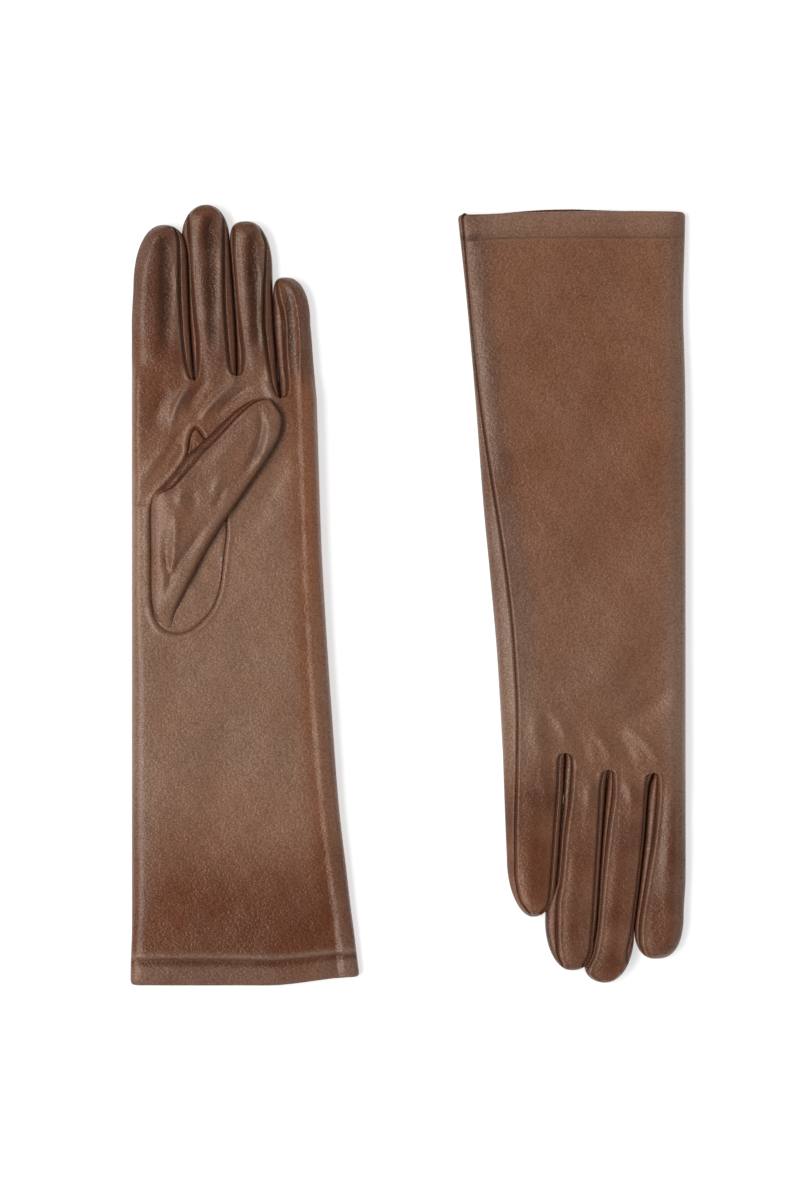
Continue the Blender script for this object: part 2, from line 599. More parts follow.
def leather(name, base, seed):
    """Soft nappa leather: pebbled grain, fine creases and cloudy dye.

    Its meshes' "tone" goes from -1, bright dye, to 1, dark; their "haze" greys it.
    """
    paint = Paint(name)
    shift = {"Location": (seed * 0.37, seed * 0.21, seed * 0.11), "Scale": (0.8, 1.25, 1.0)}
    paint.here = paint.add("Mapping", "Vector", shift | {"Vector": paint.here})

    def shade(share, warm=0.0):
        r, g, b = base
        return (r * share * (1 + warm), g * share, b * share * (1 - warm), 1.0)

    tone = paint.add("Attribute", "Fac", {}, attribute_name="tone")
    cloud = paint.ramp(paint.noise(13.0, 2.0, 0.5, 0.4), 0.36, 0.64)
    colour = paint.mix(cloud, shade(0.92, -0.05), shade(1.08, 0.10))
    colour = paint.mix(paint.ramp(paint.noise(60.0), 0.42, 0.66, 0.0, 0.35), colour, shade(0.84, 0.02))
    wobble = paint.add("TexNoise", "Color", {"Scale": 600.0, "Vector": paint.here})
    warp = {0: wobble, 1: (0.0011, 0.0011, 0.0011), 2: paint.here}
    warp = paint.add("VectorMath", 0, warp, operation="MULTIPLY_ADD")
    pebble = {"Scale": 1050.0, "Smoothness": 0.55, "Randomness": 1.0, "Vector": warp}
    pebble = paint.add("TexVoronoi", "Distance", pebble, feature="SMOOTH_F1")
    pits = paint.ramp(pebble, 0.25, 0.75)

    haze = paint.add("Attribute", "Fac", {}, attribute_name="haze")
    colour = paint.mix(paint.ramp(tone, 0.0, -1.0, 0.0, 0.9), colour, BRIGHT_DYE)
    colour = paint.mix(haze, colour, HAZE_COLOUR)
    colour = paint.mix(paint.ramp(tone, 0.0, 1.0, 0.0, 0.9), colour, shade(0.26, 0.24))
    colour = paint.mix(paint.product(pits, 0.55), colour, PIT_COLOUR, "MULTIPLY")
    shader = paint.shader
    paint.links.new(colour, shader.inputs["Base Color"])
    paint.links.new(paint.ramp(paint.noise(420.0, 4.0), 0.3, 0.7, 0.29, 0.37), shader.inputs["Roughness"])
    shader.inputs["Specular IOR Level"].default_value = 0.5
    shader.inputs["Specular Tint"].default_value = (1.0, 0.74, 0.56, 1.0)
    shader.inputs["Coat Weight"].default_value = 0.26
    shader.inputs["Coat Roughness"].default_value = 0.34
    shader.inputs["Sheen Weight"].default_value = 0.01
    shader.inputs["Sheen Roughness"].default_value = 0.4

    creases = paint.ramp(paint.noise(600.0, 2.0, 0.5, 0.8), 0.38, 0.62)
    relief = paint.sum(paint.product(pits, -0.9), paint.product(creases, 0.45))
    relief = paint.sum(relief, paint.product(paint.noise(2200.0, 1.0), 0.06))
    paint.bump(relief, 0.62, 0.00023)
    return paint.material


def cloth(name, base, rough, scale, sheen):
    """Fine woven silk or twisted thread: a tight weave in its colour and relief."""
    paint = Paint(name)
    waves = []
    for axis in ("X", "Y"):
        wave = {"Scale": scale, "Distortion": 1.0, "Detail": 1.0, "Vector": paint.here}
        waves.append(paint.add("TexWave", "Fac", wave, bands_direction=axis))
    weave = paint.product(*waves)
    hollow, raised = ((*(c * share for c in base), 1) for share in (0.75, 1.15))
    paint.links.new(paint.mix(weave, hollow, raised), paint.shader.inputs["Base Color"])
    paint.shader.inputs["Roughness"].default_value = rough
    paint.shader.inputs["Sheen Weight"].default_value = sheen
    paint.bump(weave, 0.4, 0.00008)
    return paint.material


NAPPA = (0.134, 0.040, 0.016)
LEATHER = {"left": leather("nappa_left", NAPPA, 1.0), "right": leather("nappa_right", NAPPA, 2.0)}
SILK = cloth("silk_lining", (0.115, 0.062, 0.036), 0.5, 900.0, 0.4)
THREAD = cloth("sewing_thread", (0.26, 0.115, 0.062), 0.5, 2600.0, 0.02)

# ---------------------------------------------------------------- the trank


def trank_lines(glove):
    """Lengths of the rows, and each column's share of its block's width.

    The blocks are: up to the gap before the little finger, from there to the side seam, and on to the edge.
    """
    fine = glove.pick(0.6, 0.8)
    rows = [spread(0, 12, 1.1, (0.15, 0.45, 0.9)), spread(12, 16, 0.35), spread(16, 150, 1.7)]
    rows += [spread(150, 166, 1.2), spread(166, glove.step, fine), spread(glove.step, glove.fold, 0.55)]
    rows = np.unique(np.round(np.concatenate(rows), 4))
    step = np.array(float(glove.step))
    gap = float(glove.fingers["little"].lines[0](step))
    edge = float(glove.edge(step))
    seam = float(glove.side_line(step))
    shoulder = (0.05, 0.2, 0.45, 0.8, 1.3, 1.9, 2.7, 3.7, 4.9, 6.2, 7.6)
    if glove.palm_up:
        middle = [*np.arange(8.4, 51, 0.6), *np.arange(51.4, gap - 0.6, 1.3)]
    else:
        middle = np.arange(8.6, gap - 0.8, 1.25)
    first = np.array([0, *shoulder, *middle, gap])
    steps = (0.2, 0.45, 0.8, 1.3, 2.0)
    second = spread(gap, seam, 1.4, steps)
    left_over = edge - seam
    third = [seam + depth for depth in steps if depth < left_over * 0.5]
    third += [edge - depth for depth in shoulder[:7] if depth < left_over * 0.45]
    third = np.array(sorted([seam, *third, edge]))
    return rows, first / gap, (second - gap) / (seam - gap), (third - seam) / (edge - seam)


def trank_columns(glove, y, shares, coarse=False):
    """X of every column at lengths y, from the index-finger edge on, and where the first block ends."""
    first, second, third = shares
    if coarse:
        first = np.concatenate([first[:10], first[10:-1:3], first[-1:]])
    edge, seam = glove.edge(y)[:, None], glove.side_line(y)[:, None]
    ring, step = glove.fingers["ring"], np.array(float(glove.step))
    before = float(ring.seam(step, 1)) * edge / float(glove.edge(step))
    beyond = ring.seam(np.maximum(y, glove.step), 1)[:, None]
    own = np.where((y > glove.step)[:, None], beyond, before)
    parts = (own * first, own + (seam - own) * second[1:], seam + (edge - seam) * third[1:])
    return np.hstack(parts), len(first) - 1


CORNER = 2.2  # radius of the cuff's corners
CUFF_WIDTH = 109.0
UNDER_TONE, UNDER_HAZE = -0.25, 0.15  # the trank's lower face
MOST_HAZE = 0.85
TRANK_THICK, FACING_THICK, SILK_THICK, FINGER_SILK_THICK = 0.9, 0.7, 0.35, 0.3
HEM_END, LINING_START = 12.2, 11.5  # lengths inside the cuff


def bent_cuff(glove, x, y):
    """Lengths with the cuff's own slight curve: one corner rides up a little."""
    share = x / CUFF_WIDTH
    if glove.palm_up:
        lift = 4.0 * smooth(0.6, 1.0, share)
    else:
        lift = 1.2 * smooth(0.7, 1.0, share) - 0.4 * np.sin(6 * share)
    return y + lift * (1 - smooth(0, 45, y))


def dye(glove, x, y):
    """Tone of the broad uneven dye: bright leather in the middle, browner towards the ends."""
    near = np.minimum(x, glove.edge(np.minimum(y, glove.step)) - x)
    if glove.palm_up:
        wide = 0.12 + 0.70 * smooth(26, 105, y) * (1 - 0.45 * smooth(225, 292, y))
        beyond_seam = smooth(0, 2, x - glove.side_line(y))
        wide = wide - 0.2 * palm_corner(x, y) + 0.3 * beyond_seam * smooth(120, 220, y)
    else:
        wide = 0.66 - 0.22 * bell(near - 4, 5.5) - 0.16 * smooth(235, 275, y) - 0.1 * (1 - smooth(10, 20, y))
    return -wide - 0.12 * swell(x, y, 41 + glove.palm_up, 46) - 0.06 * swell(x, y, 51, 16)


def palm_corner(x, y):
    """1 at the palm below the index finger, 0 away from it."""
    return smooth(215, 255, y) * (1 - smooth(30, 62, x))


def bloom(glove, x, y):
    """Haze of the upper face: along the long edges, at the hem, on crests and over the left forearm."""
    far = glove.edge(np.minimum(y, glove.step)) - x
    hem = 1 - smooth(9, 17, y)
    if glove.palm_up:
        grey = 0.56 * smooth(30, 112, y) * smooth(8, 22, far) * (1 - 0.55 * smooth(232, 290, y))
        grey = grey * (1 - 0.6 * palm_corner(x, y))
        grey = grey + bell(x - 6, 4.2) * (0.02 + 0.14 * (1 - smooth(100, 165, y)))
        grey = grey + 0.34 * bell(far - 5.0, 3.4) * (1 - smooth(150, 220, y)) + 0.40 * hem
        grey = grey + 0.5 * bell(y - hem_line(x) - 2.8, 1.6)
        grey = grey * (1 - 0.9 * bell(y - hem_line(x) + 0.8, 1.6))
        grey = grey + 0.26 * np.clip(strokes(x, y, PAINTED_FOLDS), 0, 2)
    else:
        grey = 0.10 + 0.24 * smooth(120, 215, y) * (1 - 0.4 * smooth(240, 275, y)) + 0.42 * hem
        for depth, share in ((x, 0.36), (glove.side_line(y) - x, 0.26)):
            grey = grey + share * bell(np.maximum(depth - 6, 0), 4.5) * (1 - hem)
    return np.clip(grey + 0.07 * swell(x, y, 57 + glove.palm_up, 28), 0, MOST_HAZE)


def tone_of(glove, x, y):
    """Tone of the trank's upper face: the dye, with darker seams, hem line, rims and valleys."""
    edge = glove.edge(y)
    tone = dye(glove, x, y) + 0.55 * bell(np.minimum(x, edge - x), 0.9)
    if glove.palm_up:
        gap, _ = reach(x, y, HOLE)
        tone = tone + 1.0 * bell(gap, 0.55) - 0.25 * bell(gap - 2.2, 1.2)
        gap = x - glove.side_line(y)
        forearm = smooth(12, 20, y) * (1 - smooth(130, 210, y))
        tone = tone + 0.2 * bell(gap + 2.2, 1.4) + 0.6 * bell(x - 4.0, 4.4) * forearm
        tone = tone + 0.26 * np.clip(-strokes(x, y, PAINTED_FOLDS), 0, 2)
    else:
        gap = glove.side_line(y) - x
        tone = tone + (0.7 * bell(gap - 5, 5) + 0.55 * smooth(0, 1.5, -gap)) * (1 - smooth(190, 255, y))
        gap = np.abs(gap)
        tone = tone + 1.1 * bell(gap, 0.5) - 0.2 * bell(gap - 2.2, 1.3)
    tone = tone + 0.9 * glove.slit(x, y, 0.5)
    hem = hem_line(x)
    tone = tone + glove.pick(0.5, 0.3) * bell(y - hem + 0.4, 1.8) + 0.6 * bell(y, 0.7)
    return np.clip(tone, -1, 1)


def around(upper, lower):
    """An upper and a lower grid joined into one loop, without the lower one's two edge columns."""
    return np.concatenate([upper, lower[:, -2:0:-1]], axis=1)


def make_trank(glove):
    """The one sheet of palm, back and gauntlet, from the cuff to the folds of the fingers."""
    rows, *shares = trank_lines(glove)
    x, gap_column = trank_columns(glove, rows, shares)
    y = np.repeat(rows[:, None], x.shape[1], 1)
    top = np.dstack([x, y, glove.top(x, y)])
    xb, gap_below = trank_columns(glove, rows, shares, coarse=True)
    yb = np.repeat(rows[:, None], xb.shape[1], 1)
    below = np.dstack([xb, yb, glove.under(xb, yb)])
    corner = CORNER - np.sqrt(CORNER**2 - np.clip(CORNER - rows, 0, CORNER) ** 2)[:, None]
    for grid in (top, below):
        grid[..., 0] = corner + grid[..., 0] * (1 - 2 * corner / glove.edge(rows)[:, None])
        grid[..., 1] = bent_cuff(glove, grid[..., 0], grid[..., 1])
    if not glove.palm_up:
        below[..., 1] -= 1.5 * bell(xb - 62, 24) * (1 - smooth(0, 30, yb))
    loop = around(top, below)
    columns = loop.shape[1]
    last = columns - gap_below
    row_index, column_index = np.meshgrid(np.arange(len(rows) - 1), np.arange(columns), indexing="ij")
    kept = (rows[row_index] < glove.step - 0.01) | (column_index < gap_column) | (column_index >= last)
    tone = [around(tone_of(glove, x, y), UNDER_TONE + 0 * yb)]
    haze = [around(bloom(glove, x, y), UNDER_HAZE + 0 * yb)]
    name, skin = f"{glove.side}_trank_leather", LEATHER[glove.side]
    piece = grid_piece(name, glove, [(loop, kept)], skin, TRANK_THICK, tone, haze, closed=True)
    over_wrist(glove, piece, f"{glove.side}_gauntlet_leather", f"{glove.side}_hand_leather")
    return loop


WRIST = ((47, 146, 8), (47, 168, 8))  # where the wrist's fold starts and ends


def over_wrist(glove, piece, *nodes):
    """A piece that bends over the fold of the wrist and stands for nodes on both sides of it."""
    start, end = bend_points(glove, *WRIST)
    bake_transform(piece)
    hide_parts(*nodes)


# ---------------------------------------------------------------- fingers


def across_panel():
    """Shares across a panel between its two seams, close together at both."""
    ends = [0, 0.01, 0.022, 0.036, 0.054, 0.076, 0.105, 0.14, 0.18]
    middle = np.linspace(0.23, 0.77, 11)
    return np.array([*ends, *middle, *(1 - e for e in ends[::-1])])


ACROSS = across_panel()
DOME = 12  # length of a finger's rounded end
# Shares of a fourchette's width at its columns, from a seam to its middle
BULGE = np.array([0, 0.04, 0.1, 0.18, 0.28, 0.4, 0.54, 0.68, 0.81, 0.92, 1.0])


def finger_rows(finger):
    """Lengths of a finger's rows, close together at its crotch and its rounded end."""
    start, dome = finger.split + 7, finger.tip[1] - DOME
    crotch = np.arange(finger.split, start, 0.3)
    straight = np.arange(start, dome, 0.9)
    dome = dome + DOME * np.sin(np.linspace(0, np.pi / 2, 26))
    return np.concatenate([crotch, straight, dome])


def panel_columns(glove, finger, y, left, right):
    """X of a panel's columns, with extra ones at the side seam that runs onto the little finger."""
    if finger.tip[1] > LITTLE_REACH:
        return left + (right - left) * ACROSS
    side = np.clip(glove.side_line(y)[:, None], left, right - 0.16 * (right - left))
    return np.hstack([left + (side - left) * ACROSS, side + (right - side) * ACROSS[1:]])


def panel_level(glove, finger, x, y, left, right):
    """Level of a finger's upper leather: a crown, a shallow hollow and a pinched seam at each side."""
    top, _, middle = finger.level(y, glove.height(y))
    share = np.clip((x - left) / np.maximum(right - left, 1e-6), 0, 1)
    flanks = ((0, x - left), (1, right - x))
    apex = glove.pick(0.56, 0.5)
    lean = np.where(share < apex, (apex - share) / apex, (share - apex) / (1 - apex))
    thick = np.clip((top - middle) / 5.0, 0, 1)
    own = top - finger.crown * lean**2.1 * thick
    first = np.array(float(finger.split))
    over = x.copy()
    for side, depth in flanks:
        if finger.seams[side] is None:
            over += (finger.seam(first, side) - finger.seam(y, side)) * bell(depth, 4)
            own = own - (own - middle) * (1 - rounded(depth, 7.5))
    joined = glove.top(over, first + 0 * x, slit=False)
    before_tip = 1 - smooth(finger.tip[1] - 14, finger.tip[1] - 3, y)
    along = smooth(finger.fold + 2, finger.fold + 22, y) * before_tip
    own = own - finger.valley[1] * bell(x - finger.hollow(y), 3.0) * along
    own = own + 0.26 * swell(x, y, 61 + glove.palm_up, 17) * thick
    own = own + strokes(x, y, glove.pick(LEFT_FINGER_FOLDS, RIGHT_FINGER_FOLDS)) * thick
    if finger.tip[1] < LITTLE_REACH:
        own = own + glove.side_seam(x, y) * thick
    mixed = smooth(finger.split, finger.split + 13, y)
    z = joined * (1 - mixed) + own * mixed
    for side, depth in flanks:
        at = finger.open(y, side) * thick
        z = z + (0.34 + 0.2 * side) * at * bell(depth - 1.5, 0.8)
        z = z - 1.15 * at * bell(depth, 0.5, 1.4)
    return z


def lower_level(glove, finger, x, y, left, right):
    """Level of a finger's lower leather: flat, with rolled sides and over the thumb under the right glove."""
    _, low, middle = finger.level(y, glove.height(y))
    level = low.copy()
    for side, depth in ((0, x - left), (1, right - x)):
        if finger.seams[side] is None:
            level = level + (middle - low) * (1 - rounded(depth, 3.6))
        else:
            level = level + (0.6 * bell(depth, 0.6) + 0.5 * (1 - rounded(depth, 3.0))) * finger.open(y, side)
    if not glove.palm_up:
        level = level + glove.thumb_room(x, y) * near_palm(finger, y)
    return level


def near_palm(finger, y):
    """1 near the finger's fold, 0 beyond it."""
    return 1 - smooth(finger.fold + 14, finger.fold + 26, y)


def finger_paint(glove, name, x, y, left, right):
    """Tones of a finger's upper and lower leather, and their hazes. Near the palm they are the trank's."""
    finger = glove.fingers[name]
    flanks = ((0, x - left), (1, right - x))
    along = smooth(finger.fold, finger.fold + 20, y) * (1 - smooth(finger.tip[1] - 9, finger.tip[1] - 3, y))
    dark = -glove.pick(0.12, 0.24) * swell(x, y, 91, 14) - glove.pick(0.04, 0.14)
    dark = dark + glove.pick(0.95, 0.2) * bell(x - finger.hollow(y), 3.1) * along
    dark = dark + 0.3 * smooth(finger.tip[1] - 4, finger.tip[1], y)
    grey = 0.06 + 0.08 * swell(x, y, 95, 20) + glove.pick(0, 0.08)
    for flank, depth in flanks:
        grey = grey + glove.pick(0.18, 0.10) * bell(depth - 3.4, 2.6) * along
        if flank == 1 and finger.seams[flank] is not None:
            grey = grey + glove.pick(0.40, 0.2) * bell(depth - 1.6, 0.8) * along
    if name == "little":
        grey = 0.4 * grey
        dark = dark - 0.14
    mixed = smooth(finger.split, finger.split + 26, y)
    base = np.minimum(y, finger.split + 6)
    dark = dye(glove, x, base) * (1 - mixed) + dark * mixed
    grey = np.clip(bloom(glove, x, base) * (1 - mixed) + grey * mixed, 0, MOST_HAZE)
    for flank, depth in flanks:
        if finger.seams[flank] is None:
            dark = dark + 0.7 * bell(depth, 0.9)
        else:
            dark = dark + 0.8 * bell(depth, 0.5) * finger.open(y, flank)
    if name == "little" and not glove.palm_up:
        dark = dark + 0.8 * bell(x - glove.side_line(y), 0.5)
    dark = np.clip(dark, -1, 1)
    low_dark = UNDER_TONE * (1 - mixed) + dark * mixed
    low_grey = UNDER_HAZE * (1 - mixed) + grey * mixed
    return (dark, low_dark), (grey, low_grey)


def make_finger(glove, name):
    """One finger: its leather, its fourchettes, its lining and its stitches."""
    finger, side = glove.fingers[name], glove.side
    rows = finger_rows(finger)
    left, right = (finger.seam(rows, flank)[:, None] for flank in (0, 1))
    x = panel_columns(glove, finger, rows, left, right)
    y = np.repeat(rows[:, None], x.shape[1], 1)
    top = np.dstack([x, y, panel_level(glove, finger, x, y, left, right)])
    below = np.dstack([x, y, np.minimum(lower_level(glove, finger, x, y, left, right), top[..., 2])])

    middle = float(x[0].mean())
    start, end = bend_points(glove, *((middle, finger.fold + beyond, 6) for beyond in (0.3, 14)))

    def bend(piece, slot, *nodes):
        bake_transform(piece)
        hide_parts(*nodes)

    paint = finger_paint(glove, name, x, y, left, right)
    tone, haze = ([upper, lower[:, ::-1]] for upper, lower in paint)
    grids = [top, below[:, ::-1]]
    piece = grid_piece(f"{side}_{name}_leather_skin", glove, grids, LEATHER[side], 0, tone, haze)
    bend(piece, "leather", f"{side}_{name}_leather")
    for flank in (0, 1):
        if finger.seams[flank] is not None:
            make_fourchette(glove, name, flank, rows, top, below, bend)
    piece = finger_lining(glove, name, rows[4:-8:3])
    bend(piece, "lining", f"{side}_{name}_lining")
    piece = finger_stitches(glove, name, rows, top, below)
    bend(piece, "thread", f"{side}_{name}_seam_thread")


def finger_lining(glove, name, y):
    """The silk tube inside a finger, closed at its tip."""
    finger = glove.fingers[name]
    turn = np.linspace(0, 2 * np.pi, 24, endpoint=False)
    near, far = finger.edge(y, 0), finger.edge(y, 1)
    high, low, _ = finger.level(y, glove.height(y))
    if not glove.palm_up:
        low = low + glove.thumb_room((near + far) / 2, y) * near_palm(finger, y)
    wide = np.maximum((far - near) / 2 - 3.2, 0.3)[:, None]
    tall = np.maximum((high - low) / 2 - 2.4, 0.2)[:, None]
    x = (near + far)[:, None] / 2 + wide * np.cos(turn)
    z = (high + low)[:, None] / 2 + tall * np.sin(turn)
    tube = np.dstack([x, np.repeat(y[:, None], len(turn), 1), z])
    tip = tube[-1:].mean(axis=1, keepdims=True) + 0 * tube[-1:]
    grids = [np.concatenate([tube, tip])]
    label = f"{glove.side}_{name}_silk"
    return grid_piece(label, glove, grids, SILK, FINGER_SILK_THICK, closed=True, mirror=True)


def finger_stitches(glove, name, y, top, below):
    """Stitches along a finger's seams, and along the side seam on the little finger."""
    finger = glove.fingers[name]
    seams = []
    for flank, column in ((0, 0), (1, -1)):
        if finger.seams[flank] is not None:
            kept = (y > finger.crotch[flank] + 1.0) & (y < finger.tip[1] - 3)
            seams += [top[kept, column] + (0, 0, 0.7), below[kept, column]]
    if name == "little":
        kept = y < finger.tip[1] - 5
        x = glove.side_line(y)[kept]
        face = glove.pick(below, top)[kept]
        z = np.array([np.interp(at, row[:, 0], row[:, 2]) for at, row in zip(x, face)])
        seams.append(np.stack([x, y[kept], z + glove.pick(0.15, 0.1)], -1))
    return stitches(f"{glove.side}_{name}_stitches", glove, seams, 0.0)


def make_fourchette(glove, name, flank, y, top, below, bend):
    """The narrow side strip of a finger, between its upper and lower seams."""
    finger, side = glove.fingers[name], glove.side
    column = 0 if flank == 0 else -1
    z_top, z_low = top[:, column, 2], below[:, column, 2]
    if name == "ring" and flank == 1:
        early = np.arange(glove.step, glove.fold - 0.1, 0.4)
        x = finger.seam(early, 1)
        y = np.concatenate([early, y])
        z_top = np.concatenate([glove.top(x, early), z_top])
        z_low = np.concatenate([glove.under(x, early), z_low])
    seam, edge = finger.seam(y, flank)[:, None], finger.edge(y, flank)[:, None]
    wide = np.abs(edge - seam)
    bulge = np.concatenate([BULGE, BULGE[-2::-1]])
    depth = bulge * wide
    rise = np.concatenate([np.sqrt(1 - BULGE**2), -np.sqrt(1 - BULGE[-2::-1] ** 2)])
    middle = (z_top + z_low)[:, None] / 2
    lip = 0.8 * (1 - bell(depth, 0.55, 1.5)) * np.clip(wide / 2.2, 0, 1)
    level = middle + (z_top[:, None] - middle) * rise + lip * np.sign(rise) * np.abs(rise) ** 0.6
    strip = np.dstack([seam + (edge - seam) * bulge, np.repeat(y[:, None], len(bulge), 1), level])
    shade = 0.8 * bell(depth, 0.5) + 0.75 * smooth(0.5, 1.0, bulge[None, :] + 0 * depth) + 0.16
    shade = shade - 0.22 * bell(depth - 1.3, 0.8)
    if flank == 0:
        strip, shade = strip[:, ::-1], shade[:, ::-1]
    label = "fourchette" if None in finger.seams else f"fourchette_{('radial', 'ulnar')[flank]}"
    tone, haze = [np.clip(shade, -1, 1)], [0.14 + 0 * shade]
    piece = grid_piece(f"{side}_{name}_{label}_skin", glove, [strip], LEATHER[side], 0, tone, haze)
    bend(piece, "leather", f"{side}_{name}_{label}")


PITCH = 1.35  # from stitch to stitch
STITCH_LENGTH = 0.62 * PITCH
STITCH_SIDES = 6
STITCH_RADII = ((0, 0.05), (0.15, 0.2), (0.5, 0.25), (0.85, 0.2), (1, 0.05))  # share of its length, radius


def stitches(name, glove, seams, lift):
    """A row of short thread stitches lying along each seam, lifted off it."""
    points, faces = [], []
    for seam in seams:
        seam = np.asarray(seam, float)
        seam = seam[np.isfinite(seam).all(axis=1)]
        gone = np.concatenate([[0], np.cumsum(np.linalg.norm(np.diff(seam, axis=0), axis=1))])
        for at in np.arange(PITCH, gone[-1] - PITCH, PITCH):
            start, end = (
                np.array([np.interp(v, gone, seam[:, k]) for k in range(3)]) for v in (at, at + STITCH_LENGTH)
            )
            along = end - start
            size = np.linalg.norm(along)
            if size < 0.2:
                continue
            along = along / size
            side = np.cross(along, (0, 0, 1.0))
            side = side / max(np.linalg.norm(side), 1e-6)
            up = np.cross(side, along)
            base = len(points)
            for share, radius in STITCH_RADII:
                centre = start + (end - start) * share + (0, 0, lift)
                for k in range(STITCH_SIDES):
                    angle = 2 * np.pi * k / STITCH_SIDES
                    points.append(centre + radius * (math.cos(angle) * side + math.sin(angle) * up))
            last = base + (len(STITCH_RADII) - 1) * STITCH_SIDES
            for ring in range(base, last, STITCH_SIDES):
                for k in range(STITCH_SIDES):
                    a, b = ring + k, ring + (k + 1) % STITCH_SIDES
                    faces.append((a, b, b + STITCH_SIDES, a + STITCH_SIDES))
            faces.append(tuple(base + k for k in range(STITCH_SIDES))[::-1])
            faces.append(tuple(last + k for k in range(STITCH_SIDES)))
    mesh = bpy.data.meshes.new(name)
    mesh.from_pydata(place(glove, points).tolist(), [], faces)
    mesh.materials.append(THREAD)
    mesh.validate()
    mesh.shade_smooth()
    piece = bpy.data.objects.new(name, mesh)
    bpy.context.scene.collection.objects.link(piece)
    return piece


# ---------------------------------------------------------------- thumb


def make_thumb(glove):
    """The thumb's root and sleeve, its lining, and the gusset and quirk that fill the rest of its hole."""
    side, up = glove.side, glove.palm_up
    t = np.concatenate([spread(0, THROAT, 0.06, (0.02,)), spread(THROAT, TIP, 0.055, (0.02,))[1:]])
    index = np.arange(THUMB_POINTS)
    k = np.interp(t, np.linspace(0, TIP, THUMB_POINTS), index)
    edges = (THUMB_LEFT, THUMB_RIGHT)
    left, right = (np.stack([np.interp(k, index, line[:, axis]) for axis in (0, 1)], -1) for line in edges)
    width = np.hypot(*(right - left).T)
    seam = np.interp(t, (0, 3.8, 4.3, 5, 5.8, 7, 8.5, 9.3, TIP), (0, 0, 1.6, 4.4, 6.0, 4.9, 2.9, 1.6, 0.3))
    seam = seam / np.maximum(width, 0.5)
    steps = (0, 0.02, 0.05, 0.09, 0.14, 0.2)
    share = np.array([*steps, *np.linspace(0.26, 0.8, 18), 0.85, 0.89, 0.925, 0.955, 0.98, 0.994, 1.0])
    first = np.linspace(0, 1, 9)
    s = np.concatenate([seam[:, None] * first, seam[:, None] + (1 - seam[:, None]) * share[1:]], axis=1)
    x = left[:, None, 0] + (right - left)[:, None, 0] * s
    y = left[:, None, 1] + (right - left)[:, None, 1] * s
    at = np.repeat(t[:, None], s.shape[1], 1)
    wide = np.repeat(width[:, None], s.shape[1], 1)
    from_left, from_right, from_seam = s * wide, (1 - s) * wide, (s - seam[:, None]) * wide
    palm = glove.top(x, y, seam=False) if up else np.zeros(np.shape(x))
    free = smooth(*FREE_FROM, at)
    tall = glove.pick(5.4, 3.7) * smooth(-0.3, 2.6, at) * (1 - 0.12 * smooth(8, TIP, at))
    end = rounded((TIP - at) * 8.0, 6.0)
    level_edge = palm + 0.2 + 1.9 * free
    roll_left = rounded(from_left, 5.0 + np.minimum(10.0, 0.6 * wide) * (1 - free))
    roll_right = rounded(from_right, 4.0)
    roll = roll_left * roll_right * end
    folds = strokes(x, y, THUMB_FOLDS)
    lift = swell(x, y, 71, 22) * 0.22 + folds
    top = level_edge + (palm + tall + lift - level_edge) * roll
    top = top - 0.85 * bell(from_seam, 0.5, 1.6) * smooth(4.0, 4.4, at) * end
    top = top + 0.45 * bell(from_seam - 1.5, 0.9) * free * end
    top = top - 0.6 * bell(from_left, 0.6) * (1 - free)
    under = level_edge - (level_edge - palm - 0.25) * roll_left * rounded(from_right, 2.5) * end
    if not up:
        under = np.maximum(under, 0.0)
    top, under = np.maximum(top, under + 0.02), np.minimum(under, top)
    throat = int(np.argmin(np.abs(t - THROAT)))
    upper, lower = np.dstack([x, y, top]), np.dstack([x, y, under])
    if not up:
        upper, lower = mirrored(upper), mirrored(lower)
    dark, grey = thumb_paint(x, y, at, folds, from_left, from_right, from_seam)
    root, sleeve = slice(0, throat + 1), slice(throat, None)
    faces = ((upper, lower), (dark, dark), (grey, grey))
    for name, rows, node in (("thumb_root", root, "thumb_base"), ("thumb_skin", sleeve, "thumb_sleeve")):
        grids, tone, haze = ([a[rows], b[rows][:, ::-1]] for a, b in faces)
        piece = grid_piece(f"{side}_{name}", glove, grids, LEATHER[side], 0.0, tone, haze, mirror=not up)
        if node == "thumb_base":
            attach(piece, f"{side}_hand")
        else:
            fold_thumb(glove, piece)
        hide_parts(f"{side}_{node}")

    thin = slice(throat + 2, -6)
    core = (upper[thin] + lower[thin]) / 2
    centre = core.mean(axis=1, keepdims=True)
    inner = [centre + (grid[thin] - centre) * (0.8, 0.8, 0.55) for grid in (upper, lower)]
    loop = around(*inner)[::3]
    piece = grid_piece(f"{side}_thumb_silk", glove, [loop], SILK, 0.0, closed=True, mirror=not up)
    fold_thumb(glove, piece)
    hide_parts(f"{side}_thumb_lining")

    make_plates(glove)


FREE_FROM = (3.4, 4.6)  # where the thumb comes off the palm, along the matching points


